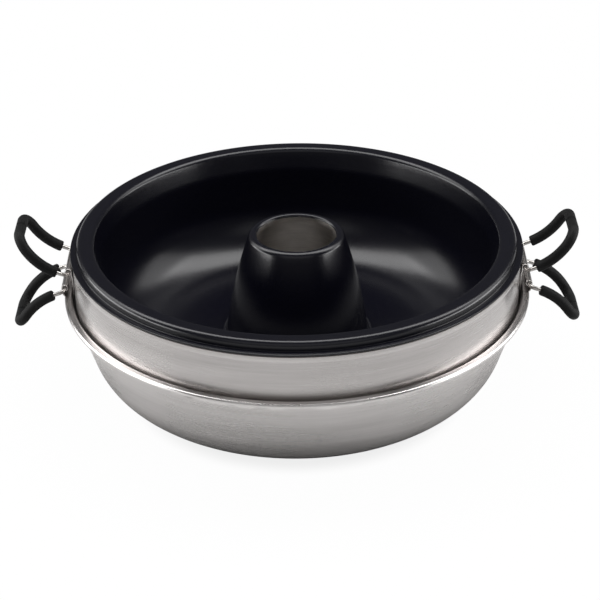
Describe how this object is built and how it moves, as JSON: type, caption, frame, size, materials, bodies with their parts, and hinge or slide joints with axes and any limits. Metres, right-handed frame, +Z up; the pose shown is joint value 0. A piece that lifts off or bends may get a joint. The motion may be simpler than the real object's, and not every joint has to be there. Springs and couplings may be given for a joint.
{
  "type": "camping stovetop oven",
  "caption": "Round camping stovetop oven packed for carrying: black-coated ring mould with a chimney in a steel base pan, standing in its domed steel lid, with folding wire handles.",
  "frame": {"origin": "on the pans' axis, at the level that the lid's flat panel stands on", "axes": "+Z up along the pans' axis, +X through the right-hand handles, +Y away from the picture's camera"},
  "size_m": [0.3426, 0.28, 0.1107],
  "materials": {
    "lid_steel": "stainless steel, brushed round the axis",
    "base_steel": "stainless steel, brushed round the axis",
    "bracket_steel": "bright stainless sheet",
    "wire_steel": "polished stainless wire",
    "nonstick_coating": "black non-stick coating, semi-gloss",
    "grip_silicone": "matt black silicone"
  },
  "bodies": {
    "lid": {"lid_bowl": "lid_steel", "lid_bracket_right": "bracket_steel", "lid_bracket_left": "bracket_steel"},
    "base": {"base_pan": "base_steel", "base_bracket_right": "bracket_steel", "base_bracket_left": "bracket_steel"},
    "mould": {"ring_mould": "nonstick_coating"},
    "lid_handle_right": {"lid_handle_wire_right": "wire_steel", "lid_handle_grip_right": "grip_silicone"},
    "lid_handle_left": {"lid_handle_wire_left": "wire_steel", "lid_handle_grip_left": "grip_silicone"},
    "base_handle_right": {"base_handle_wire_right": "wire_steel", "base_handle_grip_right": "grip_silicone"},
    "base_handle_left": {"base_handle_wire_left": "wire_steel", "base_handle_grip_left": "grip_silicone"}
  },
  "joints": [
    {"name": "base_lift", "type": "slide", "parent": "lid", "child": "base", "axis": [0, 0, 1], "range_m": [0, 0.1]},
    {"name": "mould_lift", "type": "slide", "parent": "base", "child": "mould", "axis": [0, 0, 1], "range_m": [0, 0.1]},
    {"name": "lid_handle_right_hinge", "type": "hinge", "parent": "lid", "child": "lid_handle_right", "pos_m": [0.13915, 0, 0.0725], "axis": [0, -1, 0], "range_deg": [-37, 25]},
    {"name": "lid_handle_left_hinge", "type": "hinge", "parent": "lid", "child": "lid_handle_left", "pos_m": [-0.13915, 0, 0.0725], "axis": [0, 1, 0], "range_deg": [-37, 25]},
    {"name": "base_handle_right_hinge", "type": "hinge", "parent": "base", "child": "base_handle_right", "pos_m": [0.13631, 0, 0.0834], "axis": [0, -1, 0], "range_deg": [-30, 41]},
    {"name": "base_handle_left_hinge", "type": "hinge", "parent": "base", "child": "base_handle_left", "pos_m": [-0.13631, 0, 0.0834], "axis": [0, 1, 0], "range_deg": [-30, 41]}
  ]
}
